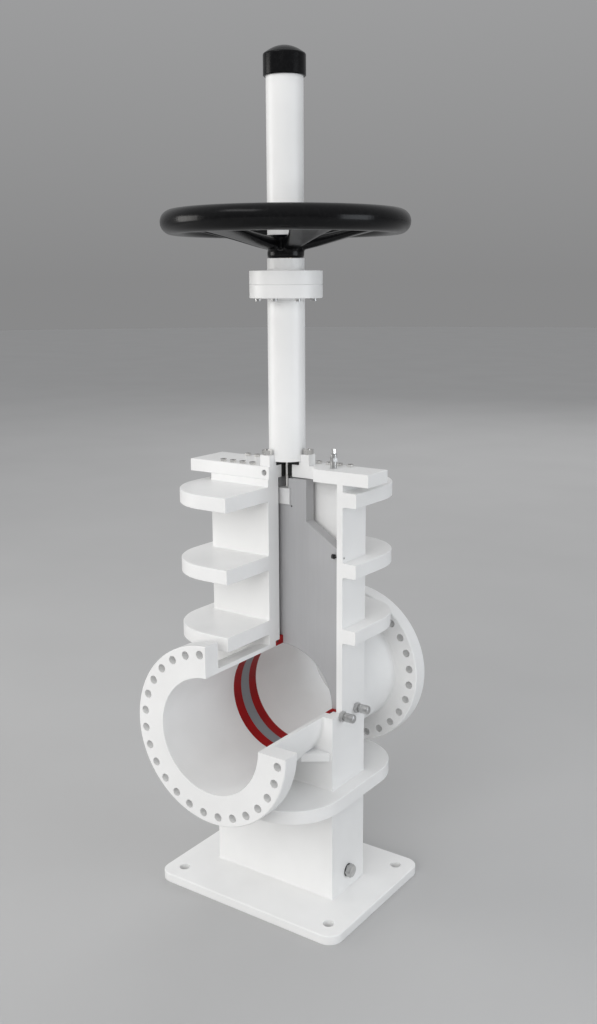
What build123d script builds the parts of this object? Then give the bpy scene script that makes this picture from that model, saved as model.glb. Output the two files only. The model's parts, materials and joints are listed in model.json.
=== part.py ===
"""Sectioned through-conduit gate valve with a handwheel, a rising stem and a slab gate.

The origin is the middle of the base plate's underside, +Z is up and the pipe runs along Y.
The quarter at +X, -Y and above the pipe axis is cut away, so the gate, the seats and the
stem show. The valve is built open: the round hole in the gate is in line with the bore.
"""

import os
from math import cos, radians, sin

from build123d import *

os.makedirs("parts", exist_ok=True)

# ---------------------------------------------------------------- driving dimensions, mm
base_length = 238.0
base_depth = 183.0
base_thickness = 10.0
base_corner_radius = 16.0
base_hole_spacing_x = 197.0
base_hole_spacing_y = 140.0
base_hole_radius = 6.0

body_half_width = 78.0
body_half_depth = 31.5
side_wall = 7.0
face_plate = 18.0
body_top = 464.4

bore_radius = 61.5
pipe_radius = 66.0
pipe_axis_z = 219.0
flange_radius = 94.5
flange_face_y = 138.8
flange_thickness = 20.0
flange_hole_circle = 85.4
flange_hole_radius = 4.5
flange_hole_count = 28

rib_half_width = 94.0
rib_half_depth = 102.5
rib_corner_radius = 60.0
rib_thickness = 15.0
rib_bottoms = (122.5, 297.0, 367.8, 441.6)

section_x = -2.3
section_pocket_y = -2.3
section_pocket_x = 42.0

gate_thickness = 14.0
gate_half_width = 70.0
gate_bottom = 146.0
gate_top = 463.4
gate_tongue_half_width = 28.7
gate_shoulder_top = 419.5
gate_shoulder_bottom = 393.3
gate_hole_radius = 61.3
gate_nut_height = 17.4
gate_nut_bottom = 435.4
gate_nut_half_width = 8.8
gate_nut_half_depth = 9.2
gate_slot_half_width = 6.2

seat_lip_radius = 70.8
seat_spigot_radius = 67.2
seat_spigot_depth = 7.0
seat_gate_gap = 0.1

bonnet_half_length = 107.8
bonnet_front_y = -30.0
bonnet_back_y = 24.5
bonnet_thickness = 13.2
bonnet_screw_columns = (27.5, 40.5, 53.5, 66.5)
front_screw_row_y = -24.4
rear_screw_row_y = 18.7
bonnet_screw_radius = 2.0
bonnet_screw_grip = 12.0
bonnet_head_radius = 3.5
bonnet_head_height = 2.6
packing_radius = 8.0

stem_radius = 3.0
stem_bottom = 437.0
stem_top = 846.0
stem_clearance = 0.05

yoke_radius = 19.25
yoke_bore = 17.0
foot_thickness = 4.4
foot_lug_circle = 23.4
foot_lug_width = 12.0
foot_lug_height = 11.6
foot_stud_circle = 24.5
foot_stud_radius = 3.0
foot_stud_angle = 8.0
yoke_nut_half_flats = 5.0
yoke_nut_height = 5.2
yoke_stud_reach = 0.8
yoke_flange_bottom = 648.8
yoke_flange_joint = 662.4
yoke_flange_top = 676.1
yoke_flange_radius = 37.4
housing_top = 688.2
housing_screw_circle = 30.5
housing_screw_angle = 13.0
housing_screw_radius = 2.0
housing_head_radius = 3.2
housing_head_height = 2.8
edge_break = 0.6

wheel_rim_z = 723.4
wheel_rim_circle = 113.8
wheel_rim_radius = 12.2
wheel_hub_radius = 18.7
wheel_hub_bottom = 688.6
wheel_hub_step = 696.9
wheel_column_radius = 14.3
wheel_hub_top = 711.0
spoke_count = 5
first_spoke_angle = -108.0

protector_radius = 18.6
protector_bore = 16.8
protector_seat_bore = 11.4
protector_seat_thickness = 3.0
protector_top = 882.0
cap_radius = 21.2
cap_bottom = 861.6
cap_top = 890.0

fitting_z = 216.8
fitting_y = 14.5
drain_z = 31.0
stop_screw_y = -10.1
stop_screw_z = 387.8
stop_screw_radius = 1.3
stop_screw_reach = 7.6
stop_head_radius = 2.5
stop_head_height = 2.6
drain_thread_radius = 4.0
drain_washer_thickness = 1.0
vent_x = 57.0
vent_y = 2.0
vent_thread_radius = 2.5
vent_screw_radius = 1.3

# ---------------------------------------------------------------- worked-out dimensions
plate_inner_y = body_half_depth - face_plate
wall_inner_x = body_half_width - side_wall
section_y = -plate_inner_y
bonnet_top = body_top + bonnet_thickness
foot_top = bonnet_top + foot_thickness
flange_back_y = flange_face_y - flange_thickness
seat_root_y = plate_inner_y + seat_spigot_depth
seat_face_y = gate_thickness / 2 + seat_gate_gap
far = 400.0


def save(builder, name):
    """Label a finished piece and write its STEP file."""
    builder.part.label = name
    export_step(builder.part, f"parts/{name}.step")


def polar(radius, angle):
    """A point on a circle about the Z axis."""
    return radius * cos(radians(angle)), radius * sin(radians(angle))


# ---------------------------------------------------------------- the space of the cut-away
with BuildPart() as quarter:
    with BuildSketch(Plane.XY.offset(pipe_axis_z)):
        with Locations((section_x, section_y)):
            Rectangle(far, far, align=(Align.MIN, Align.MAX))
    extrude(amount=far)

# the seats are cut back to the gate's own face
with BuildPart() as seat_quarter:
    with BuildSketch(Plane.XY.offset(pipe_axis_z)):
        with Locations((section_x, 0)):
            Rectangle(far, far, align=(Align.MIN, Align.MAX))
    extrude(amount=far)

# near the stem the cut goes on to just in front of the stem's middle
with BuildPart() as stem_pocket:
    with BuildSketch(Plane.XY.offset(body_top)):
        with Locations((section_x, section_pocket_y)):
            Rectangle(section_pocket_x - section_x, far, align=(Align.MIN, Align.MAX))
    extrude(amount=foot_thickness + bonnet_thickness)
    inner_corner = stem_pocket.edges().filter_by(Axis.Z).group_by(Axis.Y)[-1].sort_by(Axis.X)[-1]
    fillet(inner_corner, radius=10.0)


# ---------------------------------------------------------------- base and body
with BuildPart() as base_plate:
    with BuildSketch():
        RectangleRounded(base_length, base_depth, base_corner_radius)
        with GridLocations(base_hole_spacing_x, base_hole_spacing_y, 2, 2):
            Circle(base_hole_radius, mode=Mode.SUBTRACT)
    extrude(amount=base_thickness)
    chamfer(base_plate.faces().sort_by(Axis.Z)[-1].outer_wire().edges(), length=0.8)
save(base_plate, "base_plate")


def face_plate_screws(columns, row_y):
    """Tapped holes in the top edge of a face plate for the bonnet screws."""
    with BuildSketch(Plane.XY.offset(body_top)) as holes:
        with Locations(*[(x, row_y) for x in columns]):
            Circle(bonnet_screw_radius)
    return holes.sketch


left_columns = [-x for x in bonnet_screw_columns]
all_columns = left_columns + list(bonnet_screw_columns)

for name, side, columns, row_y in (
    ("front_plate", -1, left_columns, front_screw_row_y),
    ("rear_plate", 1, all_columns, rear_screw_row_y),
):
    inner = Plane((0, side * plate_inner_y, pipe_axis_z), x_dir=(1, 0, 0), z_dir=(0, side, 0))
    with BuildPart() as plate:
        with BuildSketch(Plane.XY.offset(base_thickness)):
            with Locations((0, side * (plate_inner_y + face_plate / 2))):
                Rectangle(2 * wall_inner_x, face_plate)
        extrude(amount=body_top - base_thickness)
        with BuildSketch(inner):
            Circle(bore_radius)
        extrude(amount=face_plate, mode=Mode.SUBTRACT)
        with BuildSketch(inner):
            Circle(seat_spigot_radius + 0.1)
        extrude(amount=seat_spigot_depth + 0.1, mode=Mode.SUBTRACT)
        extrude(face_plate_screws(columns, row_y), amount=-bonnet_screw_grip - 2.0, mode=Mode.SUBTRACT)
        if side < 0:
            add(quarter.part, mode=Mode.SUBTRACT)
    save(plate, name)

with BuildPart() as left_wall:
    with BuildSketch(Plane.XY.offset(base_thickness)):
        with Locations((-wall_inner_x - side_wall / 2, 0)):
            Rectangle(side_wall, 2 * body_half_depth)
    extrude(amount=body_top - base_thickness)
    with BuildSketch(Plane.YZ.offset(-wall_inner_x)):
        with Locations((stop_screw_y, stop_screw_z)):
            Circle(stop_screw_radius)
    extrude(amount=-side_wall, mode=Mode.SUBTRACT)
save(left_wall, "left_wall")

with BuildPart() as right_wall:
    with BuildSketch(Plane.XY.offset(base_thickness)):
        with Locations((wall_inner_x + side_wall / 2, 0)):
            Rectangle(side_wall, 2 * body_half_depth)
    extrude(amount=body_top - base_thickness)
    add(quarter.part, mode=Mode.SUBTRACT)
    with BuildSketch(Plane.YZ.offset(wall_inner_x)):
        with Locations((-fitting_y, fitting_z), (fitting_y, fitting_z)):
            Circle(2.05)
        with Locations((0, drain_z)):
            Circle(drain_thread_radius + 0.05)
        with Locations((stop_screw_y, stop_screw_z)):
            Circle(stop_screw_radius)
    extrude(amount=side_wall, mode=Mode.SUBTRACT)
save(right_wall, "right_wall")

with BuildPart() as stop_screws:
    for side in (-1, 1):
        head_centre = (side * (wall_inner_x - stop_screw_reach), stop_screw_y, stop_screw_z)
        head_face = Plane(head_centre, x_dir=(0, 1, 0), z_dir=(side, 0, 0))
        with BuildSketch(head_face):
            Circle(stop_head_radius)
        extrude(amount=stop_head_height)
        with BuildSketch(head_face):
            RegularPolygon(stop_screw_radius, 6)
        extrude(amount=stop_head_height - 1.2, mode=Mode.SUBTRACT)
        with BuildSketch(head_face.offset(stop_head_height)):
            Circle(stop_screw_radius)
        extrude(amount=stop_screw_reach - stop_head_height + side_wall - 1.0)
save(stop_screws, "stop_screws")

# ---------------------------------------------------------------- stiffening ribs round the body
for number, bottom in enumerate(rib_bottoms, start=1):
    with BuildPart() as rib:
        with BuildSketch(Plane.XY.offset(bottom)):
            RectangleRounded(2 * rib_half_width, 2 * rib_half_depth, rib_corner_radius)
            Rectangle(2 * body_half_width, 2 * body_half_depth, mode=Mode.SUBTRACT)
        extrude(amount=rib_thickness)
        rib_faces = rib.faces().filter_by(Axis.Z)
        chamfer([face.outer_wire().edges() for face in rib_faces], length=edge_break)
        if bottom > pipe_axis_z:
            add(quarter.part, mode=Mode.SUBTRACT)
    save(rib, f"body_rib_{number}")

# ---------------------------------------------------------------- pipes, flanges and gussets
for name, side in (("front", -1), ("rear", 1)):
    plate_face = Plane((0, side * body_half_depth, pipe_axis_z), x_dir=(1, 0, 0), z_dir=(0, side, 0))
    flange_back = Plane((0, side * flange_back_y, pipe_axis_z), x_dir=(1, 0, 0), z_dir=(0, side, 0))
    with BuildPart() as pipe:
        with BuildSketch(plate_face):
            Circle(pipe_radius)
            Circle(bore_radius, mode=Mode.SUBTRACT)
        extrude(amount=flange_back_y - body_half_depth)
        if side < 0:
            add(quarter.part, mode=Mode.SUBTRACT)
    save(pipe, f"{name}_pipe")

    with BuildPart() as flange:
        with BuildSketch(flange_back):
            Circle(flange_radius)
            Circle(bore_radius, mode=Mode.SUBTRACT)
        extrude(amount=flange_thickness)
        rim_edges = flange.edges().filter_by(GeomType.CIRCLE).sort_by(SortBy.RADIUS)[-2:]
        chamfer(rim_edges, length=0.8)
        with BuildSketch(flange_back):
            with PolarLocations(flange_hole_circle, flange_hole_count, start_angle=180 / flange_hole_count):
                Circle(flange_hole_radius)
        extrude(amount=flange_thickness, mode=Mode.SUBTRACT)
        if side < 0:
            add(quarter.part, mode=Mode.SUBTRACT)
    save(flange, f"{name}_flange")

gusset_bottom = 171.5
gusset_thickness = 9.0
gusset_reach_x = 75.0
gusset_reach_y = 50.0
with BuildPart() as corner_gussets:
    for side_x in (-1, 1):
        for side_y in (-1, 1):
            with BuildSketch(Plane.XY.offset(gusset_bottom)):
                with BuildLine():
                    Polyline(
                        (side_x * 40.0, side_y * body_half_depth),
                        (side_x * gusset_reach_x, side_y * body_half_depth),
                        (side_x * gusset_reach_x, side_y * (body_half_depth + 1.5)),
                        (side_x * 51.0, side_y * gusset_reach_y),
                        (side_x * 40.0, side_y * gusset_reach_y),
                        close=True,
                    )
                make_face()
            extrude(amount=gusset_thickness)
    with BuildSketch(Plane.XZ.offset(-far / 2).shift_origin((0, far / 2, pipe_axis_z))):
        Circle(pipe_radius)
    extrude(amount=far, mode=Mode.SUBTRACT)
save(corner_gussets, "corner_gussets")

# ---------------------------------------------------------------- seats
for name, side in (("front", -1), ("rear", 1)):
    profile_side = Plane((0, 0, pipe_axis_z), x_dir=(0, side, 0), z_dir=(1, 0, 0))
    with BuildPart() as seat:
        with BuildSketch(profile_side):
            with BuildLine():
                Polyline(
                    (seat_face_y, bore_radius),
                    (seat_root_y, bore_radius),
                    (seat_root_y, seat_spigot_radius),
                    (seat_root_y - 2.2, seat_spigot_radius),
                    (seat_root_y - 2.2, seat_spigot_radius - 2.7),
                    (seat_root_y - 4.9, seat_spigot_radius - 2.7),
                    (seat_root_y - 4.9, seat_spigot_radius),
                    (plate_inner_y, seat_spigot_radius),
                    (plate_inner_y, seat_lip_radius),
                    (seat_face_y + 0.8, seat_lip_radius),
                    (seat_face_y, seat_lip_radius - 0.8),
                    close=True,
                )
            make_face()
        revolve(axis=Axis((0, 0, pipe_axis_z), (0, 1, 0)))
        if side < 0:
            add(seat_quarter.part, mode=Mode.SUBTRACT)
    save(seat, f"{name}_seat_ring")

    with BuildPart() as o_ring:
        with BuildSketch(profile_side):
            with Locations((seat_root_y - 3.55, seat_spigot_radius - 1.3)):
                Circle(1.25)
        revolve(axis=Axis((0, 0, pipe_axis_z), (0, 1, 0)))
        if side < 0:
            add(quarter.part, mode=Mode.SUBTRACT)
    save(o_ring, f"{name}_seat_o_ring")

# ---------------------------------------------------------------- gate, its nut, lock screw and stem
lock_screw_x = 10.2
lock_screw_z = 433.9
lock_screw_radius = 1.0
with BuildPart() as gate:
    with BuildSketch(Plane.XZ.offset(-gate_thickness / 2)):
        with BuildLine():
            Polyline(
                (-gate_half_width, gate_bottom),
                (gate_half_width, gate_bottom),
                (gate_half_width, gate_shoulder_bottom),
                (gate_tongue_half_width, gate_shoulder_top),
                (gate_tongue_half_width, gate_top),
                (-gate_tongue_half_width, gate_top),
                (-gate_tongue_half_width, gate_shoulder_top),
                (-gate_half_width, gate_shoulder_bottom),
                close=True,
            )
        make_face()
        with Locations((0, pipe_axis_z)):
            Circle(gate_hole_radius, mode=Mode.SUBTRACT)
        with Locations((0, gate_nut_bottom - 0.1)):
            Rectangle(
                2 * gate_nut_half_width + 0.2,
                gate_nut_height + 0.2,
                align=(Align.CENTER, Align.MIN),
                mode=Mode.SUBTRACT,
            )
        with Locations((0, gate_nut_bottom)):
            Rectangle(2 * gate_slot_half_width, far, align=(Align.CENTER, Align.MIN), mode=Mode.SUBTRACT)
    extrude(amount=gate_thickness)
    with BuildSketch(Plane.XZ.offset(gate_thickness / 2)):
        with Locations((lock_screw_x, lock_screw_z)):
            Circle(lock_screw_radius)
    extrude(amount=-6.0, mode=Mode.SUBTRACT)
    outline = gate.edges().filter_by(Axis.Y, reverse=True).filter_by(GeomType.LINE)
    lower_edges = outline.filter_by(lambda edge: edge.center().Z < gate_shoulder_top + 1)
    chamfer(lower_edges, length=0.6)
save(gate, "gate")

with BuildPart() as gate_nut:
    with BuildSketch(Plane.XY.offset(gate_nut_bottom)):
        Rectangle(2 * gate_nut_half_width, 2 * gate_nut_half_depth)
        Circle(stem_radius, mode=Mode.SUBTRACT)
    extrude(amount=gate_nut_height)
    chamfer(gate_nut.faces().filter_by(Axis.Y).edges(), length=0.5)
save(gate_nut, "gate_nut")

with BuildPart() as nut_lock_screw:
    with BuildSketch(Plane.XZ.offset(gate_thickness / 2 - 0.3)):
        with Locations((lock_screw_x, lock_screw_z)):
            Circle(lock_screw_radius)
            RegularPolygon(0.6, 6, mode=Mode.SUBTRACT)
    extrude(amount=-2.0)
    with BuildSketch(Plane.XZ.offset(gate_thickness / 2 - 2.3)):
        with Locations((lock_screw_x, lock_screw_z)):
            Circle(lock_screw_radius)
    extrude(amount=-3.4)
save(nut_lock_screw, "nut_lock_screw")

with BuildPart() as stem:
    with BuildSketch(Plane.XY.offset(stem_bottom)):
        Circle(stem_radius)
    extrude(amount=stem_top - stem_bottom)
    chamfer(stem.faces().sort_by(Axis.Z)[-1].edges(), length=0.8)
save(stem, "stem")

# ---------------------------------------------------------------- bonnet and stem seal
port_x = -8.3
port_z = 471.2
port_depth = 5.0
stud_points = [polar(foot_stud_circle, foot_stud_angle + 120 * k) for k in range(3)]
lug_points = [polar(foot_lug_circle, foot_stud_angle + 120 * k) for k in range(3)]
gland_screw_points = [polar(12.4, 100.0), polar(12.4, 190.0)]
gland_screw_radius = 1.25
gland_follower_radius = 15.6
gland_follower_height = 2.4
bonnet_screw_points = [(x, front_screw_row_y) for x in left_columns]
bonnet_screw_points += [(x, rear_screw_row_y) for x in all_columns]

with BuildPart() as bonnet:
    with BuildSketch(Plane.XY.offset(body_top)):
        with Locations((0, bonnet_front_y)):
            Rectangle(2 * bonnet_half_length, bonnet_back_y - bonnet_front_y, align=(Align.CENTER, Align.MIN))
        Circle(packing_radius, mode=Mode.SUBTRACT)
        with Locations(*bonnet_screw_points):
            Circle(bonnet_screw_radius + 0.2, mode=Mode.SUBTRACT)
        with Locations((vent_x, vent_y)):
            Circle(vent_thread_radius + 0.05, mode=Mode.SUBTRACT)
        with Locations(*stud_points):
            Circle(foot_stud_radius, mode=Mode.SUBTRACT)
    extrude(amount=bonnet_thickness)
    chamfer(bonnet.faces().sort_by(Axis.Z)[-1].outer_wire().edges(), length=edge_break)
    with BuildSketch(Plane.XY.offset(bonnet_top)):
        with Locations(*gland_screw_points):
            Circle(gland_screw_radius)
    extrude(amount=-7.0, mode=Mode.SUBTRACT)
    with BuildSketch(Plane.XZ.offset(-bonnet_front_y)):
        with Locations((port_x, port_z)):
            Circle(3.2)
    extrude(amount=-port_depth, mode=Mode.SUBTRACT)
    with BuildSketch(Plane.XZ.offset(-bonnet_front_y - port_depth)):
        with Locations((port_x + 1.2, port_z)):
            Circle(1.1)
    extrude(amount=bonnet_front_y + port_depth + 5.0, mode=Mode.SUBTRACT)
    add(quarter.part, mode=Mode.SUBTRACT)
    add(stem_pocket.part, mode=Mode.SUBTRACT)
save(bonnet, "bonnet")

with BuildPart() as bonnet_screws:
    with BuildSketch(Plane.XY.offset(bonnet_top)):
        with Locations(*bonnet_screw_points):
            Circle(bonnet_head_radius)
    extrude(amount=bonnet_head_height)
    chamfer(bonnet_screws.faces().sort_by(Axis.Z)[-1].edges(), length=0.4)
    with BuildSketch(Plane.XY.offset(bonnet_top)):
        with Locations(*bonnet_screw_points):
            Circle(bonnet_screw_radius)
    extrude(amount=-bonnet_thickness - bonnet_screw_grip)
    with BuildSketch(Plane.XY.offset(bonnet_top + bonnet_head_height)):
        with Locations(*bonnet_screw_points):
            RegularPolygon(1.7, 6)
    extrude(amount=-1.8, mode=Mode.SUBTRACT)
save(bonnet_screws, "bonnet_screws")

packing_ring_height = 3.9
packing_ring_pitch = 4.0
with BuildPart() as packing_rings:
    for k in range(3):
        with BuildSketch(Plane.XY.offset(body_top + 0.6 + packing_ring_pitch * k)):
            Circle(packing_radius)
            Circle(stem_radius + stem_clearance, mode=Mode.SUBTRACT)
        extrude(amount=packing_ring_height)
    add(stem_pocket.part, mode=Mode.SUBTRACT)
save(packing_rings, "packing_rings")

with BuildPart() as gland_follower:
    with BuildSketch(Plane.XY.offset(bonnet_top)):
        Circle(gland_follower_radius)
        Circle(stem_radius + stem_clearance, mode=Mode.SUBTRACT)
        with Locations(*gland_screw_points):
            Circle(gland_screw_radius + 0.15, mode=Mode.SUBTRACT)
    extrude(amount=gland_follower_height)
    add(stem_pocket.part, mode=Mode.SUBTRACT)
save(gland_follower, "gland_follower")

with BuildPart() as gland_screws:
    with BuildSketch(Plane.XY.offset(bonnet_top + gland_follower_height)):
        with Locations(*gland_screw_points):
            Circle(2.2)
    extrude(amount=1.8)
    with BuildSketch(Plane.XY.offset(bonnet_top + gland_follower_height)):
        with Locations(*gland_screw_points):
            Circle(gland_screw_radius)
    extrude(amount=-8.0)
save(gland_screws, "gland_screws")

# ---------------------------------------------------------------- yoke
with BuildPart() as yoke_foot:
    with BuildSketch(Plane.XY.offset(bonnet_top)):
        Circle(yoke_radius + 2.0)
        Circle(yoke_bore, mode=Mode.SUBTRACT)
    extrude(amount=foot_thickness)
    with BuildSketch(Plane.XY.offset(bonnet_top)):
        with Locations(*lug_points):
            Rectangle(foot_lug_width, foot_lug_width)
        Circle(yoke_bore, mode=Mode.SUBTRACT)
    extrude(amount=foot_lug_height)
    with BuildSketch(Plane.XY.offset(foot_top)):
        Circle(yoke_radius + 0.02)
    extrude(amount=foot_lug_height, mode=Mode.SUBTRACT)
    with BuildSketch(Plane.XY.offset(bonnet_top)):
        with Locations(*stud_points):
            Circle(foot_stud_radius)
    extrude(amount=foot_lug_height, mode=Mode.SUBTRACT)
    add(stem_pocket.part, mode=Mode.SUBTRACT)
save(yoke_foot, "yoke_foot")

with BuildPart() as yoke_tube:
    with BuildSketch(Plane.XY.offset(foot_top)):
        Circle(yoke_radius)
        Circle(yoke_bore, mode=Mode.SUBTRACT)
    extrude(amount=yoke_flange_bottom - foot_top)
save(yoke_tube, "yoke_tube")

lug_top = bonnet_top + foot_lug_height
flats_to_the_tube = 30 + foot_stud_angle
with BuildPart() as yoke_nuts:
    with BuildSketch(Plane.XY.offset(lug_top)):
        with Locations(*stud_points):
            RegularPolygon(yoke_nut_half_flats, 6, major_radius=False, rotation=flats_to_the_tube)
            Circle(foot_stud_radius, mode=Mode.SUBTRACT)
    extrude(amount=yoke_nut_height)
save(yoke_nuts, "yoke_nuts")

with BuildPart() as yoke_studs:
    with BuildSketch(Plane.XY.offset(body_top + 1.0)):
        with Locations(*stud_points):
            Circle(foot_stud_radius)
    extrude(amount=bonnet_thickness - 1.0 + foot_lug_height + yoke_nut_height + yoke_stud_reach)
    chamfer(yoke_studs.faces().filter_by(Axis.Z).group_by(Axis.Z)[-1].edges(), length=0.6)
save(yoke_studs, "yoke_studs")

sleeve_radius = 8.0
sleeve_bore = stem_radius + stem_clearance
housing_bore = sleeve_radius + 0.4
housing_screw_points = [polar(housing_screw_circle, housing_screw_angle + 45 * k) for k in range(8)]

with BuildPart() as yoke_top_flange:
    with BuildSketch(Plane.XY.offset(yoke_flange_bottom)):
        Circle(yoke_flange_radius)
        Circle(housing_bore, mode=Mode.SUBTRACT)
        with Locations(*housing_screw_points):
            Circle(housing_screw_radius + 0.1, mode=Mode.SUBTRACT)
    extrude(amount=yoke_flange_joint - yoke_flange_bottom)
    rims = yoke_top_flange.edges().filter_by(GeomType.CIRCLE).sort_by(SortBy.RADIUS)[-2:]
    chamfer(rims, length=edge_break)
save(yoke_top_flange, "yoke_top_flange")

# ---------------------------------------------------------------- bearing housing
race_radius = 15.0
washer = 2.0
ball_space = 3.0
ball_radius = 1.45
collar = 4.0
lower_race_z = yoke_flange_joint
lower_balls_z = lower_race_z + washer
lower_shaft_z = lower_balls_z + ball_space
collar_z = lower_shaft_z + washer
upper_shaft_z = collar_z + collar
upper_balls_z = upper_shaft_z + washer
upper_race_z = upper_balls_z + ball_space
chamber_top = upper_race_z + washer

with BuildPart() as bearing_housing:
    with BuildSketch(Plane.XY.offset(yoke_flange_joint)):
        Circle(yoke_flange_radius)
    extrude(amount=yoke_flange_top - yoke_flange_joint)
    with BuildSketch(Plane.XY.offset(yoke_flange_top)):
        Circle(wheel_hub_radius + 0.3)
    extrude(amount=housing_top - yoke_flange_top)
    rims = bearing_housing.edges().filter_by(GeomType.CIRCLE).sort_by(SortBy.RADIUS)[-2:]
    chamfer(rims, length=0.4)
    with BuildSketch(Plane.XY.offset(yoke_flange_joint)):
        Circle(race_radius + 0.4)
    extrude(amount=chamber_top - yoke_flange_joint, mode=Mode.SUBTRACT)
    with BuildSketch(Plane.XY.offset(chamber_top)):
        Circle(housing_bore)
    extrude(amount=housing_top - chamber_top, mode=Mode.SUBTRACT)
    with BuildSketch(Plane.XY.offset(yoke_flange_joint)):
        with Locations(*housing_screw_points):
            Circle(housing_screw_radius)
    extrude(amount=10.0, mode=Mode.SUBTRACT)
save(bearing_housing, "bearing_housing")

with BuildPart() as housing_screws:
    with BuildSketch(Plane.XY.offset(yoke_flange_bottom)):
        with Locations(*housing_screw_points):
            Circle(housing_head_radius)
    extrude(amount=-housing_head_height)
    chamfer(housing_screws.faces().sort_by(Axis.Z)[0].edges(), length=0.4)
    with BuildSketch(Plane.XY.offset(yoke_flange_bottom)):
        with Locations(*housing_screw_points):
            Circle(housing_screw_radius)
    extrude(amount=yoke_flange_joint - yoke_flange_bottom + 9.0)
    with BuildSketch(Plane.XY.offset(yoke_flange_bottom - housing_head_height)):
        with Locations(*housing_screw_points):
            RegularPolygon(1.6, 6)
    extrude(amount=1.8, mode=Mode.SUBTRACT)
save(housing_screws, "housing_screws")

for name, z, inner_radius, outer_radius in (
    ("lower_housing_washer", lower_race_z, sleeve_radius + 0.8, race_radius + 0.4),
    ("lower_shaft_washer", lower_shaft_z, sleeve_radius, race_radius),
    ("upper_shaft_washer", upper_shaft_z, sleeve_radius, race_radius),
    ("upper_housing_washer", upper_race_z, sleeve_radius + 0.8, race_radius + 0.4),
):
    with BuildPart() as bearing_washer:
        with BuildSketch(Plane.XY.offset(z)):
            Circle(outer_radius)
            Circle(inner_radius, mode=Mode.SUBTRACT)
        extrude(amount=washer)
    save(bearing_washer, name)

ball_count = 14
ball_circle = 11.8
for name, z in (("lower_ball_cage", lower_balls_z), ("upper_ball_cage", upper_balls_z)):
    with BuildPart() as ball_cage:
        with BuildSketch(Plane.XY.offset(z + ball_space / 2 - 0.5)):
            Circle(race_radius - 0.6)
            Circle(sleeve_radius + 0.9, mode=Mode.SUBTRACT)
            with PolarLocations(ball_circle, ball_count):
                Circle(ball_radius + 0.1, mode=Mode.SUBTRACT)
        extrude(amount=1.0)
        with Locations((0, 0, z + ball_space / 2)):
            with PolarLocations(ball_circle, ball_count):
                Sphere(ball_radius)
    save(ball_cage, name)

# ---------------------------------------------------------------- stem nut and handwheel
lock_nut_z = 704.0
lock_nut_height = 6.0
sleeve_bottom = yoke_flange_joint - 6.0
sleeve_top = lock_nut_z + lock_nut_height + 1.0
key_size = 3.0
key_bottom = wheel_hub_bottom + 0.4
key_length = lock_nut_z - key_bottom
key_inner_x = sleeve_radius - key_size / 2

with BuildPart() as stem_nut:
    with BuildSketch(Plane.XY.offset(sleeve_bottom)):
        Circle(sleeve_radius)
    extrude(amount=sleeve_top - sleeve_bottom)
    with BuildSketch(Plane.XY.offset(collar_z)):
        Circle(race_radius)
    extrude(amount=collar)
    with BuildSketch(Plane.XY.offset(sleeve_bottom)):
        Circle(sleeve_bore)
    extrude(amount=sleeve_top - sleeve_bottom, mode=Mode.SUBTRACT)
    with BuildSketch(Plane.XY.offset(key_bottom)):
        with Locations((key_inner_x, 0)):
            Rectangle(key_size, key_size, align=(Align.MIN, Align.CENTER))
    extrude(amount=key_length, mode=Mode.SUBTRACT)
save(stem_nut, "stem_nut")

with BuildPart() as wheel_key:
    with BuildSketch(Plane.XY.offset(key_bottom)):
        with Locations((key_inner_x, 0)):
            Rectangle(key_size, key_size, align=(Align.MIN, Align.CENTER))
    extrude(amount=key_length)
save(wheel_key, "wheel_key")

with BuildPart() as wheel_lock_nut:
    with BuildSketch(Plane.XY.offset(lock_nut_z)):
        RegularPolygon(9.5, 6, major_radius=False)
        Circle(sleeve_radius, mode=Mode.SUBTRACT)
    extrude(amount=lock_nut_height)
save(wheel_lock_nut, "wheel_lock_nut")

# the spokes rise from the hub to the rim, so the wheel is dished
spoke_stations = (
    (9.0, 703.2, 7.6, 6.4),
    (22.0, 703.4, 8.8, 6.2),
    (45.0, 708.2, 13.2, 5.2),
    (72.0, 714.8, 21.0, 4.4),
    (106.0, 722.0, 34.0, 4.8),
)
with BuildPart() as handwheel:
    with BuildSketch(Plane.XZ):
        with Locations((wheel_rim_circle, wheel_rim_z)):
            Circle(wheel_rim_radius)
    revolve(axis=Axis.Z)
    with BuildSketch(Plane.XY.offset(wheel_hub_bottom)):
        Circle(wheel_hub_radius)
    extrude(amount=wheel_hub_step - wheel_hub_bottom)
    with BuildSketch(Plane.XY.offset(wheel_hub_step)):
        Circle(wheel_column_radius)
    extrude(amount=wheel_hub_top - wheel_hub_step)
    for k in range(spoke_count):
        angle = first_spoke_angle + 360 / spoke_count * k
        outward = (cos(radians(angle)), sin(radians(angle)), 0)
        across = (-outward[1], outward[0], 0)
        for radius, z, half_width, half_height in spoke_stations:
            station = Plane((*polar(radius, angle), z), x_dir=across, z_dir=outward)
            with BuildSketch(station):
                Ellipse(half_width, half_height)
        loft()
    with BuildSketch(Plane.XY.offset(wheel_hub_bottom)):
        Circle(sleeve_radius)
        with Locations((key_inner_x, 0)):
            Rectangle(key_size, key_size, align=(Align.MIN, Align.CENTER))
    extrude(amount=wheel_hub_top - wheel_hub_bottom, mode=Mode.SUBTRACT)
    with BuildSketch(Plane.XY.offset(lock_nut_z)):
        Circle(protector_seat_bore)
    extrude(amount=wheel_hub_top - lock_nut_z, mode=Mode.SUBTRACT)
save(handwheel, "handwheel")

with BuildPart() as stem_protector:
    with BuildSketch(Plane.XY.offset(wheel_hub_top)):
        Circle(protector_radius)
        Circle(protector_bore, mode=Mode.SUBTRACT)
    extrude(amount=protector_top - wheel_hub_top)
    with BuildSketch(Plane.XY.offset(wheel_hub_top)):
        Circle(protector_radius)
        Circle(protector_seat_bore, mode=Mode.SUBTRACT)
    extrude(amount=protector_seat_thickness)
save(stem_protector, "stem_protector")

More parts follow.
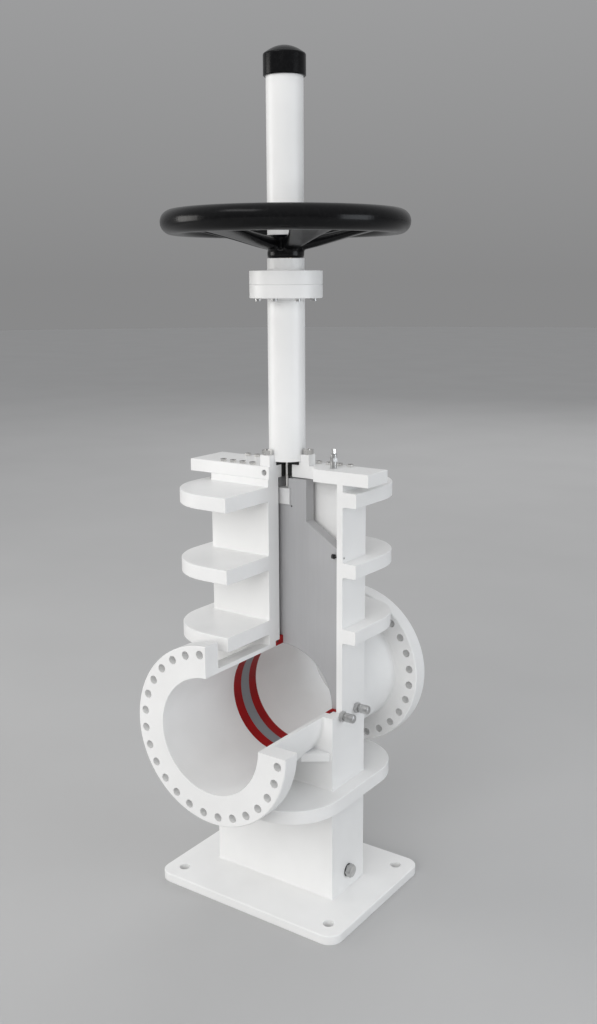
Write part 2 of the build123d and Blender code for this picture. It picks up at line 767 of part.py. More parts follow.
cap_shoulder = 880.8
dome_edge_radius = 19.4
dome_edge_z = 883.2
with BuildPart() as end_cap:
    with BuildSketch(Plane.XZ):
        with BuildLine():
            Line((0, protector_top), (protector_radius, protector_top))
            Line((protector_radius, protector_top), (protector_radius, cap_bottom))
            Line((protector_radius, cap_bottom), (cap_radius - 0.8, cap_bottom))
            Line((cap_radius - 0.8, cap_bottom), (cap_radius, cap_bottom + 0.8))
            Line((cap_radius, cap_bottom + 0.8), (cap_radius, cap_shoulder))
            ThreePointArc(
                (cap_radius, cap_shoulder),
                (cap_radius - 0.4, cap_shoulder + 1.4),
                (dome_edge_radius, dome_edge_z),
            )
            ThreePointArc((dome_edge_radius, dome_edge_z), (12.0, 887.6), (4.0, cap_top))
            Line((4.0, cap_top), (0, cap_top))
            Line((0, cap_top), (0, protector_top))
        make_face()
    revolve(axis=Axis.Z)
save(end_cap, "end_cap")

# ---------------------------------------------------------------- fittings
for name, y in (("front_seat_fitting", -fitting_y), ("rear_seat_fitting", fitting_y)):
    with BuildPart() as fitting:
        with BuildSketch(Plane.YZ.offset(wall_inner_x)):
            with Locations((y, fitting_z)):
                Circle(2.0)
        extrude(amount=side_wall)
        with BuildSketch(Plane.YZ.offset(body_half_width)):
            with Locations((y, fitting_z)):
                RegularPolygon(5.0, 6, major_radius=False, rotation=30)
        extrude(amount=4.4)
        with BuildSketch(Plane.YZ.offset(body_half_width + 4.4)):
            with Locations((y, fitting_z)):
                Circle(3.8)
        extrude(amount=1.6)
    save(fitting, name)

for name, y in (("front_fitting_cap", -fitting_y), ("rear_fitting_cap", fitting_y)):
    with BuildPart() as fitting_cap:
        with BuildSketch(Plane.YZ.offset(body_half_width + 6.0)):
            with Locations((y, fitting_z)):
                Circle(4.9)
        extrude(amount=10.5)
        chamfer(fitting_cap.edges().filter_by(GeomType.CIRCLE), length=0.9)
    save(fitting_cap, name)

with BuildPart() as drain_plug:
    with BuildSketch(Plane.YZ.offset(wall_inner_x)):
        with Locations((0, drain_z)):
            Circle(drain_thread_radius)
    extrude(amount=side_wall + drain_washer_thickness)
    with BuildSketch(Plane.YZ.offset(body_half_width + drain_washer_thickness)):
        with Locations((0, drain_z)):
            RegularPolygon(6.5, 6, major_radius=False, rotation=30)
    extrude(amount=5.6)
    chamfer(drain_plug.faces().sort_by(Axis.X)[-1].edges(), length=0.7)
save(drain_plug, "drain_plug")

with BuildPart() as drain_washer:
    with BuildSketch(Plane.YZ.offset(body_half_width)):
        with Locations((0, drain_z)):
            Circle(7.2)
            Circle(drain_thread_radius, mode=Mode.SUBTRACT)
    extrude(amount=drain_washer_thickness)
save(drain_washer, "drain_washer")

with BuildPart() as vent_valve:
    with BuildSketch(Plane.XY.offset(body_top + 1.0)):
        with Locations((vent_x, vent_y)):
            Circle(vent_thread_radius)
    extrude(amount=bonnet_thickness - 1.0)
    with BuildSketch(Plane.XY.offset(bonnet_top)):
        with Locations((vent_x, vent_y)):
            Circle(3.4)
    extrude(amount=7.0)
    with BuildSketch(Plane.XY.offset(bonnet_top + 7.0)):
        with Locations((vent_x, vent_y)):
            RegularPolygon(3.8, 6, major_radius=False)
    extrude(amount=4.0)
    with BuildSketch(Plane.XY.offset(bonnet_top + 11.0)):
        with Locations((vent_x, vent_y)):
            Circle(3.3)
    extrude(amount=4.5)
    chamfer(vent_valve.faces().sort_by(Axis.Z)[-1].edges(), length=0.8)
    with BuildSketch(Plane.XY.offset(bonnet_top + 9.0)):
        with Locations((vent_x, vent_y)):
            Circle(vent_screw_radius)
    extrude(amount=6.5, mode=Mode.SUBTRACT)
save(vent_valve, "vent_valve")

with BuildPart() as vent_screw:
    with BuildSketch(Plane.XY.offset(bonnet_top + 9.0)):
        with Locations((vent_x, vent_y)):
            Circle(vent_screw_radius)
    extrude(amount=6.5)
    with BuildSketch(Plane.XY.offset(bonnet_top + 15.5)):
        with Locations((vent_x, vent_y)):
            RegularPolygon(2.0, 6, major_radius=False)
    extrude(amount=5.2)
    chamfer(vent_screw.faces().sort_by(Axis.Z)[-1].edges(), length=0.4)
save(vent_screw, "vent_screw")
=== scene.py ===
"""Looks of the sectioned gate valve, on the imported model. Metres, in the model's own frame."""

import json
import math

import bmesh
import bpy
from mathutils import Matrix, Vector


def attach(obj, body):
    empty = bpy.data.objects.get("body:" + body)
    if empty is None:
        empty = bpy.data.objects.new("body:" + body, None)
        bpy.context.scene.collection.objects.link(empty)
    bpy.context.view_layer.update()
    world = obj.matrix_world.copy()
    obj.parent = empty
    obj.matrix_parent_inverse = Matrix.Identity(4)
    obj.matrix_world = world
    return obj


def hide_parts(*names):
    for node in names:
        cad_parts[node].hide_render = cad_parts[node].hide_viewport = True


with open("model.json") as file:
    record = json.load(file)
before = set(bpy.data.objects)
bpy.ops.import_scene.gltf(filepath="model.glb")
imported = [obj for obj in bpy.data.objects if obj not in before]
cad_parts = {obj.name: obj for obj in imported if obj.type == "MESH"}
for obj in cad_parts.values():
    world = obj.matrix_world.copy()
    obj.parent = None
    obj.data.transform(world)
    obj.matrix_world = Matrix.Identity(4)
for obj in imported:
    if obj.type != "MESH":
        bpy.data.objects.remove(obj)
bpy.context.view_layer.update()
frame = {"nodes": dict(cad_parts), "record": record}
nodes = frame["nodes"]
MM = 0.001
PIPE_Z = 219.0


# ---------------------------------------------------------------- material helpers
def new_material(name, metallic=0.0):
    """A material with a Principled shader, and what the helpers below need to add to it."""
    material = bpy.data.materials.new(name)
    material.use_nodes = True
    tree = material.node_tree
    shader = tree.nodes["Principled BSDF"]
    shader.inputs["Metallic"].default_value = metallic
    coordinates = tree.nodes.new("ShaderNodeTexCoord").outputs["Object"]
    return material, tree, shader, coordinates


def mapped(tree, coordinates, stretch=(1, 1, 1), shift=(0, 0, 0)):
    """Object coordinates, moved and then stretched."""
    move = tree.nodes.new("ShaderNodeVectorMath")
    move.operation = "SUBTRACT"
    tree.links.new(coordinates, move.inputs[0])
    move.inputs[1].default_value = shift
    scale = tree.nodes.new("ShaderNodeVectorMath")
    scale.operation = "MULTIPLY"
    tree.links.new(move.outputs[0], scale.inputs[0])
    scale.inputs[1].default_value = stretch
    return scale.outputs[0]


def noise(tree, vector, scale, detail=2.0, roughness=0.5):
    """Noise from 0 to 1. Scale is in features per metre."""
    node = tree.nodes.new("ShaderNodeTexNoise")
    node.inputs["Scale"].default_value = scale
    node.inputs["Detail"].default_value = detail
    node.inputs["Roughness"].default_value = roughness
    tree.links.new(vector, node.inputs["Vector"])
    return node.outputs["Fac"]


def ramp(tree, value, stops):
    """A colour ramp over value. Stops are (position, (r, g, b)) pairs."""
    node = tree.nodes.new("ShaderNodeValToRGB")
    elements = node.color_ramp.elements
    while len(elements) < len(stops):
        elements.new(0.5)
    for element, (position, colour) in zip(elements, stops):
        element.position = position
        element.color = (*colour, 1.0)
    tree.links.new(value, node.inputs["Fac"])
    return node.outputs["Color"]


def spread(tree, value, low, high, start=0.3, end=0.7):
    """Value from start to end mapped to low to high."""
    node = tree.nodes.new("ShaderNodeMapRange")
    tree.links.new(value, node.inputs["Value"])
    for name, number in (("From Min", start), ("From Max", end), ("To Min", low), ("To Max", high)):
        node.inputs[name].default_value = number
    return node.outputs["Result"]


def math_node(tree, operation, a, b):
    """One arithmetic step on two sockets or numbers."""
    node = tree.nodes.new("ShaderNodeMath")
    node.operation = operation
    for socket, value in zip(node.inputs, (a, b)):
        if isinstance(value, (int, float)):
            socket.default_value = value
        else:
            tree.links.new(value, socket)
    return node.outputs[0]


def mixed(tree, how, amount, a, b):
    """Two colours mixed. Amount is a number or a socket."""
    node = tree.nodes.new("ShaderNodeMix")
    node.data_type = "RGBA"
    node.blend_type = how
    for socket, value in ((node.inputs[0], amount), (node.inputs[6], a), (node.inputs[7], b)):
        if isinstance(value, (int, float)):
            socket.default_value = value
        elif isinstance(value, tuple):
            socket.default_value = (*value, 1.0)
        else:
            tree.links.new(value, socket)
    return node.outputs[2]


def bump(tree, shader, layers):
    """Adds bumps to the shader's normal. Layers are (height, strength, depth in metres)."""
    last = None
    for height, strength, depth in layers:
        node = tree.nodes.new("ShaderNodeBump")
        node.inputs["Strength"].default_value = strength
        node.inputs["Distance"].default_value = depth
        tree.links.new(height, node.inputs["Height"])
        if last is not None:
            tree.links.new(last, node.inputs["Normal"])
        last = node.outputs["Normal"]
    tree.links.new(last, shader.inputs["Normal"])


def painted_crease_shade(tree, reach):
    """Painted shade mask: 1 in the open and falling towards 0 in corners narrower than reach."""
    node = tree.nodes.new("ShaderNodeAmbientOcclusion")
    node.samples = 4
    node.inputs["Distance"].default_value = reach
    return node.outputs["AO"]


# ---------------------------------------------------------------- materials
def white_paint():
    """Satin two-coat paint on machined and welded steel: faint orange peel, with painted shade greying the
    corners.
    """
    material, tree, shader, place = new_material("white_paint")
    tone = ramp(tree, noise(tree, place, 16, 3), [(0.35, (0.86, 0.86, 0.855)), (0.65, (0.90, 0.90, 0.895))])
    # Painted shade: occlusion darkens and cools the paint in corners and creases.
    corner = ramp(tree, painted_crease_shade(tree, 0.006), [(0.15, (0.62, 0.63, 0.66)), (0.75, (1, 1, 1))])
    tree.links.new(mixed(tree, "MULTIPLY", 0.55, tone, corner), shader.inputs["Base Color"])
    tree.links.new(spread(tree, noise(tree, place, 60, 3), 0.30, 0.42), shader.inputs["Roughness"])
    peel = noise(tree, place, 520, 2)
    waves = noise(tree, place, 45, 1)
    bump(tree, shader, [(waves, 0.05, 0.001), (peel, 0.10, 0.0003)])
    return material


def machined_face(name, low, high, bored=None):
    """Steel ground flat: matt grey, with fine marks along it and a few long scratches.

    Bored is the height and radius of a hole along Y; within it the turned wall gets painted shade, darker and
    cooler.
    """
    material, tree, shader, place = new_material(name, metallic=0.25)
    marks = noise(tree, mapped(tree, place, (1, 1, 0.02)), 900, 3, 0.7)
    cloud = noise(tree, place, 7, 3)
    tone = ramp(tree, cloud, [(0.3, low), (0.7, high)])
    grain = ramp(tree, marks, [(0.3, (0.94, 0.94, 0.94)), (0.7, (1.0, 1.0, 1.0))])
    colour = mixed(tree, "MULTIPLY", 1.0, tone, grain)
    if bored:
        height, radius = bored
        off_axis = mapped(tree, place, (1, 0, 1), (0, 0, height))
        length = tree.nodes.new("ShaderNodeVectorMath")
        length.operation = "LENGTH"
        tree.links.new(off_axis, length.inputs[0])
        # Painted shade: steel within the bore's radius is darkened and cooled as if shaded inside the pipe.
        bore_painted_shade = math_node(tree, "LESS_THAN", length.outputs["Value"], radius)
        colour = mixed(tree, "MULTIPLY", bore_painted_shade, colour, (0.60, 0.63, 0.66))
    tree.links.new(colour, shader.inputs["Base Color"])
    tree.links.new(spread(tree, marks, 0.46, 0.58), shader.inputs["Roughness"])
    scratch = noise(tree, mapped(tree, place, (1.0, 1.0, 0.05)), 700, 1)
    bump(tree, shader, [(marks, 0.06, 0.0002), (spread(tree, scratch, 0, 1, 0.70, 0.74), 0.08, 0.0002)])
    return material


def metal(name, colour_low, colour_high, rough_low, rough_high, grain=(1, 1, 1), fine=1800, depth=0.0001):
    """A bare or plated metal: clouded tone, uneven gloss and a fine grain."""
    material, tree, shader, place = new_material(name, metallic=1.0)
    cloud = noise(tree, place, 180, 3)
    tree.links.new(ramp(tree, cloud, [(0.3, colour_low), (0.7, colour_high)]), shader.inputs["Base Color"])
    lines = noise(tree, mapped(tree, place, grain), fine, 2)
    tree.links.new(spread(tree, lines, rough_low, rough_high), shader.inputs["Roughness"])
    bump(tree, shader, [(lines, 0.20, depth)])
    return material


def seat_red():
    """Turned red elastomer: fine rings about the pipe axis and a slight bloom."""
    material, tree, shader, place = new_material("seat_red")
    bloom = noise(tree, place, 70, 4)
    tone = ramp(tree, bloom, [(0.3, (0.28, 0.0012, 0.002)), (0.7, (0.37, 0.0025, 0.004))])
    tree.links.new(tone, shader.inputs["Base Color"])
    tree.links.new(spread(tree, bloom, 0.42, 0.56), shader.inputs["Roughness"])
    shader.inputs["Specular IOR Level"].default_value = 0.22
    rings = tree.nodes.new("ShaderNodeTexWave")
    rings.wave_type = "RINGS"
    rings.rings_direction = "Y"
    rings.inputs["Scale"].default_value = 400
    tree.links.new(mapped(tree, place, shift=(0, 0, PIPE_Z * MM)), rings.inputs["Vector"])
    bump(tree, shader, [(rings.outputs["Fac"], 0.15, 0.0001), (noise(tree, place, 1500), 0.15, 0.0001)])
    return material


def dark(name, low, high, rough_low, rough_high, fine=900, strength=0.2):
    """A black or nearly black part: rubber, black oxide."""
    material, tree, shader, place = new_material(name)
    cloud = noise(tree, place, 120, 3)
    tree.links.new(ramp(tree, cloud, [(0.3, low), (0.7, high)]), shader.inputs["Base Color"])
    tree.links.new(spread(tree, cloud, rough_low, rough_high), shader.inputs["Roughness"])
    bump(tree, shader, [(noise(tree, place, fine, 3), strength, 0.0002)])
    return material


def black_gloss():
    """Black enamel on the handwheel and the cap: deep gloss over a slightly uneven casting."""
    material, tree, shader, place = new_material("black_gloss")
    dust = noise(tree, place, 260, 4, 0.7)
    tone = ramp(tree, dust, [(0.45, (0.003, 0.003, 0.0035)), (0.75, (0.007, 0.007, 0.0075))])
    tree.links.new(tone, shader.inputs["Base Color"])
    tree.links.new(spread(tree, dust, 0.17, 0.24), shader.inputs["Roughness"])
    shader.inputs["Specular IOR Level"].default_value = 0.20
    bump(tree, shader, [(noise(tree, place, 45, 1), 0.04, 0.001), (noise(tree, place, 700, 2), 0.03, 0.0002)])
    return material


GATE_HOLE = (PIPE_Z * MM, 0.0616)
MATERIALS = {
    "white_paint": white_paint(),
    "machined_steel": machined_face("machined_steel", (0.47, 0.47, 0.48), (0.52, 0.52, 0.53), GATE_HOLE),
    "bright_steel": metal("bright_steel", (0.78, 0.77, 0.75), (0.88, 0.87, 0.85), 0.12, 0.24, (1, 1, 0.1)),
    "light_steel": machined_face("light_steel", (0.76, 0.76, 0.765), (0.84, 0.84, 0.84)),
    "zinc": metal("zinc", (0.50, 0.50, 0.50), (0.64, 0.64, 0.63), 0.30, 0.46, depth=0.00015),
    "seat_red": seat_red(),
    "seal_black": dark("seal_black", (0.010, 0.010, 0.010), (0.020, 0.020, 0.020), 0.50, 0.66),
    "gland_black": dark("gland_black", (0.012, 0.012, 0.013), (0.028, 0.028, 0.030), 0.34, 0.50),
    "black_gloss": black_gloss(),
    "bronze": metal("bronze", (0.52, 0.34, 0.16), (0.64, 0.44, 0.22), 0.25, 0.40),
}

for subpart in frame["record"]["subparts"]:
    node = nodes[subpart["node"]]
    node.data.materials.clear()
    node.data.materials.append(MATERIALS[subpart["material_slot"]])


# ---------------------------------------------------------------- mesh helpers
def finish_piece(mesh_builder, name, body, slot, replaced=(), smooth_angle=35):
    """Turns a bmesh in millimetres into a piece that rides on a body."""
    bmesh.ops.remove_doubles(mesh_builder, verts=mesh_builder.verts, dist=0.001)
    bmesh.ops.recalc_face_normals(mesh_builder, faces=mesh_builder.faces)
    bmesh.ops.scale(mesh_builder, vec=(MM, MM, MM), verts=mesh_builder.verts)
    mesh = bpy.data.meshes.new(name)
    mesh_builder.to_mesh(mesh)
    mesh_builder.free()
    piece = bpy.data.objects.new(name, mesh)
    bpy.context.scene.collection.objects.link(piece)
    return dress(piece, body, slot, replaced, smooth_angle)


def dress(piece, body, slot, replaced=(), smooth_angle=35):
    """Material, shading, body and slot of a finished piece."""
    mesh = piece.data
    mesh.materials.clear()
    mesh.materials.append(MATERIALS[slot])
    mesh.shade_smooth()
    mesh.set_sharp_from_angle(angle=math.radians(smooth_angle))
    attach(piece, body)
    if replaced:
        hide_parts(*replaced)
    return piece


def turned(builder, profile, centre=(0, 0, 0), axis="Z", segments=96, start=0.0, end=360.0):
    """Revolves a closed profile of (radius, height) points about an axis through centre.

    The angle runs from the first axis after the turning one, so about Y it runs from +X up to +Z.
    """
    whole = abs(end - start) >= 359.999
    steps = segments if whole else segments + 1
    rings = []
    for k in range(steps):
        angle = math.radians(start + (end - start) * k / segments)
        ring = []
        for radius, height in profile:
            a, b = radius * math.cos(angle), radius * math.sin(angle)
            point = {"Z": (a, b, height), "Y": (a, height, b), "X": (height, a, b)}[axis]
            ring.append(builder.verts.new(Vector(point) + Vector(centre)))
        rings.append(ring)
    count = len(profile)
    for k in range(len(rings) if whole else len(rings) - 1):
        here, there = rings[k], rings[(k + 1) % len(rings)]
        for i in range(count):
            j = (i + 1) % count
            builder.faces.new((here[i], here[j], there[j], there[i]))
    if not whole:
        builder.faces.new(rings[0])
        builder.faces.new(rings[-1])


def fillet_section(leg):
    """Across a small corner weld: outwards along one face, then up along the other, hollow between."""
    hollow = [(0.62, 0.10), (0.30, 0.30), (0.10, 0.62)]
    return [(0.0, 0.0), (leg, 0.0)] + [(out * leg, up * leg) for out, up in hollow] + [(0.0, leg)]


def fillet_path(builder, path, z, side, leg, closed):
    """A corner weld along a level path. Side is +1 for a weld above z and -1 for one below."""
    count = len(path)
    rings = []
    for i, point in enumerate(path):
        here = Vector(point)
        before = Vector(path[i - 1]) if (closed or i > 0) else None
        after = Vector(path[(i + 1) % count]) if (closed or i < count - 1) else None
        normals = []
        for a, b in ((before, here), (here, after)):
            if a is not None and b is not None:
                along = (b - a).normalized()
                normals.append(Vector((along.y, -along.x)))
        outward = sum(normals, Vector((0, 0)))
        if len(normals) == 2:
            outward = outward / (1 + normals[0].dot(normals[1]))
        ring = []
        for out, up in fillet_section(leg):
            flat = here + outward * out
            ring.append(builder.verts.new((flat.x, flat.y, z + side * up)))
        rings.append(ring)
    size = len(rings[0])
    for k in range(count if closed else count - 1):
        here, there = rings[k], rings[(k + 1) % count]
        for i in range(size):
            j = (i + 1) % size
            builder.faces.new((here[i], here[j], there[j], there[i]))
    if not closed:
        builder.faces.new(rings[0])
        builder.faces.new(rings[-1])


def hexagon(builder, across, low, high, centre, axis="Z", turn=0.0, chamfer=0.5):
    """A hexagon head whose corners are turned off at the top end, like a real one."""
    steps = 72
    rings = []
    top_flat = across / 2 - 0.15
    uncut = 1e9
    cone_slope = 0.577
    for radius_limit, height in ((uncut, low), (uncut, high - chamfer), (top_flat, high)):
        ring = []
        for k in range(steps):
            angle = 2 * math.pi * k / steps
            inner = (angle + math.pi / 6) % (math.pi / 3) - math.pi / 6
            flat = across / 2 / math.cos(inner)
            drop = (flat - across / 2) * cone_slope
            radius = min(flat, radius_limit)
            level = height - drop if radius_limit == uncut and height > low else height
            a = radius * math.cos(angle + math.radians(turn))
            b = radius * math.sin(angle + math.radians(turn))
            point = {"Z": (a, b, level), "Y": (a, level, b), "X": (level, a, b)}[axis]
            ring.append(builder.verts.new(Vector(point) + Vector(centre)))
        rings.append(ring)
    for here, there in zip(rings, rings[1:]):
        for i in range(steps):
            j = (i + 1) % steps
            builder.faces.new((here[i], here[j], there[j], there[i]))
    builder.faces.new(rings[0])
    builder.faces.new(rings[-1])


# ---------------------------------------------------------------- handwheel, cast in one with dished spokes
RIM_Z, RIM_CIRCLE, RIM_R = 723.4, 113.8, 12.2
HUB_LOW, HUB_STEP, HUB_HIGH = 688.6, 696.9, 711.0
DISC_R, COLUMN_R, BORE_R, NUT_SEAT_Z, NUT_SEAT_R = 18.7, 14.3, 8.0, 704.0, 11.4
FIRST_SPOKE, SPOKES = -108.0, 5


def spoke(builder, angle):
    """A tapered web from the hub up to the rim, flared at both ends.

    Each station is a radius, a height, and half the web's width and thickness there.
    """
    stations = [
        (9.0, 703.0, 7.4, 6.4),
        (22.0, 703.2, 8.6, 6.2),
        (33.0, 705.4, 10.4, 5.8),
        (45.0, 708.2, 13.0, 5.2),
        (58.0, 711.4, 16.4, 4.7),
        (72.0, 714.8, 21.0, 4.3),
        (88.0, 718.6, 27.5, 4.2),
        (100.0, 721.0, 33.0, 4.6),
        (RIM_CIRCLE, RIM_Z, 38.0, 5.0),
    ]
    direction = Vector((math.cos(math.radians(angle)), math.sin(math.radians(angle)), 0))
    across = Vector((-direction.y, direction.x, 0))
    steps = 28
    rings = []
    for radius, z, half_width, half_height in stations:
        ring = []
        for k in range(steps):
            t = 2 * math.pi * k / steps
            c, s = math.cos(t), math.sin(t)
            u = math.copysign(abs(c) ** 0.5, c) * half_width
            v = math.copysign(abs(s) ** 0.5, s) * half_height
            ring.append(builder.verts.new(direction * radius + across * u + Vector((0, 0, z + v))))
        rings.append(ring)
    for here, there in zip(rings, rings[1:]):
        for i in range(steps):
            j = (i + 1) % steps
            builder.faces.new((here[i], here[j], there[j], there[i]))
    builder.faces.new(rings[0])
    builder.faces.new(rings[-1])


def apply_modifiers(piece):
    """Replaces a piece's mesh with what its modifiers make of it."""
    bpy.context.view_layer.update()
    shown = piece.evaluated_get(bpy.context.evaluated_depsgraph_get())
    mesh = bpy.data.meshes.new_from_object(shown)
    piece.modifiers.clear()
    piece.data = mesh


def loose_object(builder, name):
    """A bmesh in millimetres as a plain object, for use in a modifier."""
    bmesh.ops.recalc_face_normals(builder, faces=builder.faces)
    bmesh.ops.scale(builder, vec=(MM, MM, MM), verts=builder.verts)
    mesh = bpy.data.meshes.new(name)
    builder.to_mesh(mesh)
    builder.free()
    made = bpy.data.objects.new(name, mesh)
    bpy.context.scene.collection.objects.link(made)
    return made


def make_handwheel():
    """Rim, spokes and hub run together into one casting, then bored for the stem nut and lock nut."""
    wheel = bmesh.new()
    angles = [2 * math.pi * k / 48 for k in range(48)]
    circle = [(RIM_CIRCLE + RIM_R * math.cos(a), RIM_Z + RIM_R * math.sin(a)) for a in angles]
    turned(wheel, circle, segments=192)
    core = BORE_R - 4.0
    turned(wheel, [
        (core, HUB_LOW), (DISC_R - 0.6, HUB_LOW), (DISC_R, HUB_LOW + 0.6), (DISC_R, HUB_STEP - 0.8),
        (DISC_R - 0.8, HUB_STEP), (COLUMN_R + 1.2, HUB_STEP), (COLUMN_R, HUB_STEP + 1.2),
        (COLUMN_R, HUB_HIGH - 0.6), (COLUMN_R - 0.6, HUB_HIGH), (core, HUB_HIGH),
    ], segments=128)
    for k in range(SPOKES):
        spoke(wheel, FIRST_SPOKE + 360 / SPOKES * k)
    piece = loose_object(wheel, "handwheel_casting")
    remesh = piece.modifiers.new("cast", "REMESH")
    remesh.mode = "VOXEL"
    remesh.voxel_size = 1.1 * MM
    remesh.use_smooth_shade = True
    relax = piece.modifiers.new("relax", "CORRECTIVE_SMOOTH")
    relax.smooth_type = "LENGTH_WEIGHTED"
    relax.iterations = 14
    relax.factor = 0.5
    relax.use_only_smooth = True
    apply_modifiers(piece)
    bore = bmesh.new()
    below, above = HUB_LOW - 9, HUB_HIGH + 9
    turned(bore, [
        (0.01, below), (BORE_R, below), (BORE_R, NUT_SEAT_Z), (NUT_SEAT_R, NUT_SEAT_Z),
        (NUT_SEAT_R, above), (0.01, above),
    ], segments=96)
    cutter = loose_object(bore, "hub_bore")
    cut = piece.modifiers.new("bore", "BOOLEAN")
    cut.operation = "DIFFERENCE"
    cut.solver = "EXACT"
    cut.object = cutter
    apply_modifiers(piece)
    bpy.data.objects.remove(cutter)
    dress(piece, "wheel", "black_gloss", ["handwheel"], 50)


make_handwheel()

# ---------------------------------------------------------------- corner welds of the painted body
HALF_X, HALF_Y = 78.0, 31.5
CUT_X, CUT_Y = -2.3, -13.5
RIBS = ((122.5, False), (297.0, True), (367.8, True), (441.6, True))
RIB_T = 15.0
BASE_TOP = 10.0
WHOLE = [(-HALF_X, -HALF_Y), (HALF_X, -HALF_Y), (HALF_X, HALF_Y), (-HALF_X, HALF_Y)]
OPEN = [(HALF_X, CUT_Y), (HALF_X, HALF_Y), (-HALF_X, HALF_Y), (-HALF_X, -HALF_Y), (CUT_X, -HALF_Y)]

welds = bmesh.new()
for bottom, cut in RIBS:
    path = OPEN if cut else WHOLE
    fillet_path(welds, path, bottom, -1, 1.7, not cut)
    fillet_path(welds, path, bottom + RIB_T, 1, 1.7, not cut)
fillet_path(welds, WHOLE, BASE_TOP, 1, 2.0, True)
finish_piece(welds, "body_welds", "frame", "white_paint")

PIPE_R, FLANGE_BACK_Y = 66.0, 118.8
pipe_welds = bmesh.new()
for side in (-1, 1):
    start, end = (92.0, 360.0) if side < 0 else (0.0, 360.0)
    for y, direction in ((side * HALF_Y, side), (side * FLANGE_BACK_Y, -side)):
        section = [(PIPE_R + out, y + direction * up) for up, out in fillet_section(2.2)]
        turned(pipe_welds, section, (0, 0, PIPE_Z), "Y", 128, start, end)
finish_piece(pipe_welds, "pipe_welds", "frame", "white_paint")

YOKE_R, YOKE_DISC_LOW = 19.25, 648.8
HOUSING_NECK_R, HOUSING_DISC_TOP = 19.0, 676.1
yoke_welds = bmesh.new()
under_disc = [(YOKE_R + out, YOKE_DISC_LOW - up) for up, out in fillet_section(1.6)]
over_disc = [(HOUSING_NECK_R + out, HOUSING_DISC_TOP + up) for up, out in fillet_section(1.4)]
turned(yoke_welds, under_disc, segments=96)
turned(yoke_welds, over_disc, segments=96)
finish_piece(yoke_welds, "yoke_welds", "frame", "white_paint")

# ---------------------------------------------------------------- fittings
FITTING_Y, FITTING_Z = 14.5, 216.8
DRAIN_Z = 31.0
KNURLS = 32
KNURL_DEPTH = 0.10
FITTING_NECK = [(0.01, 82.0), (3.4, 82.0), (3.8, 82.4), (3.8, 84.1), (0.01, 84.1)]
CAP_PROFILE = [
    (0.01, 84.0), (4.2, 84.0), (4.85, 84.8), (4.85, 86.0), (4.6, 86.3), (4.6, 87.0),
    (4.85, 87.3), (4.85, 92.6), (4.1, 93.9), (3.0, 94.5), (0.01, 94.5),
]


def knurled_cap(builder, y):
    """A turned cap along X, with fine knurls round its grip."""
    steps = KNURLS * 4
    rings = []
    for k in range(steps):
        angle = 2 * math.pi * k / steps
        dent = KNURL_DEPTH * (0.5 - 0.5 * math.cos(KNURLS * angle))
        ring = []
        for radius, x in CAP_PROFILE:
            r = radius - (dent if radius > 4.7 and x > 87 else 0)
            ring.append(builder.verts.new((x, y + r * math.cos(angle), FITTING_Z + r * math.sin(angle))))
        rings.append(ring)
    for k in range(steps):
        here, there = rings[k], rings[(k + 1) % steps]
        for i in range(len(CAP_PROFILE) - 1):
            builder.faces.new((here[i], here[i + 1], there[i + 1], there[i]))


for end, y in (("front", -FITTING_Y), ("rear", FITTING_Y)):
    fitting = bmesh.new()
    hexagon(fitting, 10.0, 78.0, 82.4, (0, y, FITTING_Z), "X", 30)
    turned(fitting, FITTING_NECK, (0, y, FITTING_Z), "X", 48)
    finish_piece(fitting, f"{end}_fitting_body", "frame", "zinc", [f"{end}_seat_fitting"])
    cap = bmesh.new()
    knurled_cap(cap, y)
    finish_piece(cap, f"{end}_fitting_knob", "frame", "zinc", [f"{end}_fitting_cap"])

plug = bmesh.new()
hexagon(plug, 13.0, 79.0, 84.6, (0, 0, DRAIN_Z), "X", 30, 0.8)
turned(plug, [(0.01, 78.2), (5.8, 78.2), (5.8, 79.0), (0.01, 79.0)], (0, 0, DRAIN_Z), "X", 48)
finish_piece(plug, "drain_plug_head", "frame", "zinc", ["drain_plug"])

# ---------------------------------------------------------------- stage, lights and camera
def plain(name, low, high, roughness, scale):
    """A plain stage surface with a very faint mottle."""
    material, tree, shader, place = new_material(name)
    tone = ramp(tree, noise(tree, place, scale, 3), [(0.3, low), (0.7, high)])
    tree.links.new(tone, shader.inputs["Base Color"])
    shader.inputs["Roughness"].default_value = roughness
    return material


floor_mesh = bpy.data.meshes.new("floor")
floor_builder = bmesh.new()
bmesh.ops.create_circle(floor_builder, cap_ends=True, segments=96, radius=14.0)
floor_builder.to_mesh(floor_mesh)
floor_builder.free()
floor = bpy.data.objects.new("floor", floor_mesh)
floor.location.z = -0.0002
floor_mesh.materials.append(plain("floor_paper", (0.485, 0.485, 0.485), (0.505, 0.505, 0.505), 0.9, 3))
bpy.context.scene.collection.objects.link(floor)


def studio_world(horizon, zenith):
    """Even light from all round, brighter overhead, so that the far floor is as bright as the horizon."""
    world = bpy.data.worlds.new("studio")
    world.use_nodes = True
    tree = world.node_tree
    direction = tree.nodes.new("ShaderNodeTexCoord").outputs["Generated"]
    parts = tree.nodes.new("ShaderNodeSeparateXYZ")
    tree.links.new(direction, parts.inputs[0])
    glow = ramp(tree, parts.outputs["Z"], [(0.0, horizon), (1.0, zenith)])
    tree.links.new(glow, tree.nodes["Background"].inputs["Color"])
    bpy.context.scene.world = world


studio_world((0.25, 0.25, 0.252), (0.62, 0.625, 0.635))


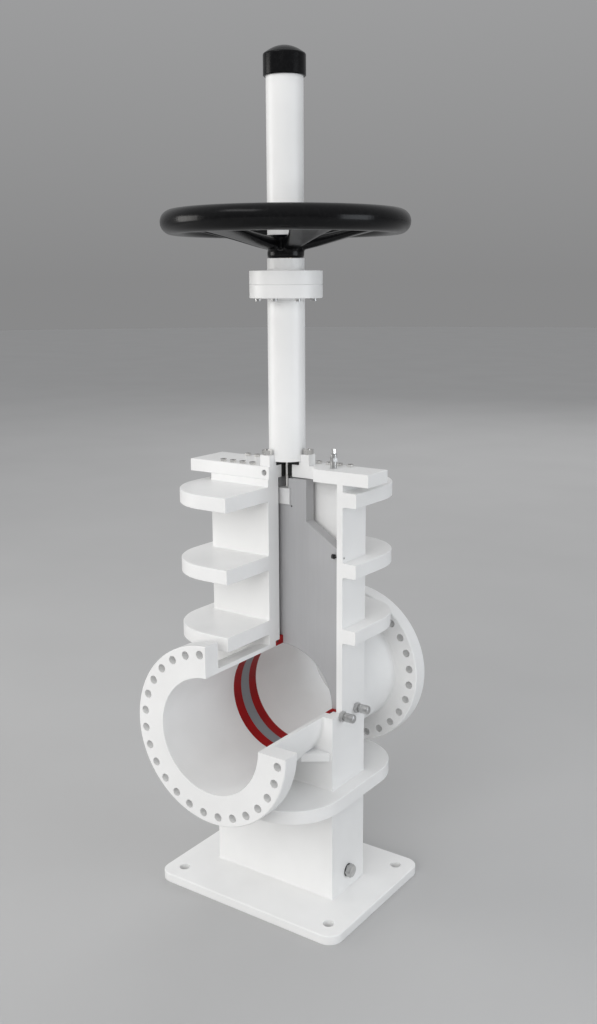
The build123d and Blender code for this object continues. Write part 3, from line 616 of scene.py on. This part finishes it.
def softbox(name, place, target, width, height, power, colour=(1, 1, 1), mirrored=True):
    """A rectangular studio light that faces target. Unless mirrored, gloss doesn't show it."""
    data = bpy.data.lights.new(name, "AREA")
    data.shape = "RECTANGLE"
    data.size = width
    data.size_y = height
    data.energy = power
    data.color = colour
    lamp = bpy.data.objects.new(name, data)
    lamp.location = place
    lamp.rotation_euler = (Vector(target) - Vector(place)).to_track_quat("-Z", "Y").to_euler()
    lamp.visible_glossy = mirrored
    bpy.context.scene.collection.objects.link(lamp)


softbox("left", (-1.7, -0.95, 0.75), (0, 0, 0.45), 0.9, 0.9, 9.5, (1.0, 0.985, 0.955))
softbox("right", (1.7, 0.28, 0.6), (0, 0, 0.45), 0.9, 0.9, 7.5, (0.90, 0.95, 1.0))
softbox("ceiling", (-0.35, -1.5, 2.3), (0, 0, 0.6), 1.1, 0.5, 5)
softbox("front", (0.85, -3.9, 1.9), (0, 0, 0.4), 3.2, 2.4, 82, (1.0, 0.995, 0.985), mirrored=False)
softbox("back", (-1.0, 3.4, 2.6), (0, 0, 0.4), 2.4, 2.0, 30, mirrored=False)

EYE = (0.6518, -0.9118, 0.6690)
camera_data = bpy.data.cameras.new("camera")
camera_data.sensor_width = 36.0
camera_data.lens = 37.85
camera = bpy.data.objects.new("camera", camera_data)
heading = math.radians(34.97)
pitch = math.radians(-12.28)
roll = math.radians(-0.29)
ahead = Vector((-math.sin(heading), math.cos(heading), 0)) * math.cos(pitch) + Vector((0, 0, math.sin(pitch)))
level = Vector((math.cos(heading), math.sin(heading), 0))
upward = level.cross(ahead)
right = level * math.cos(roll) + upward * math.sin(roll)
upward = right.cross(ahead)
camera.matrix_world = Matrix(
    (
        (right.x, upward.x, -ahead.x, EYE[0]),
        (right.y, upward.y, -ahead.y, EYE[1]),
        (right.z, upward.z, -ahead.z, EYE[2]),
        (0, 0, 0, 1),
    )
)
bpy.context.scene.collection.objects.link(camera)
bpy.context.scene.camera = camera
bpy.context.scene.view_settings.view_transform = "Standard"
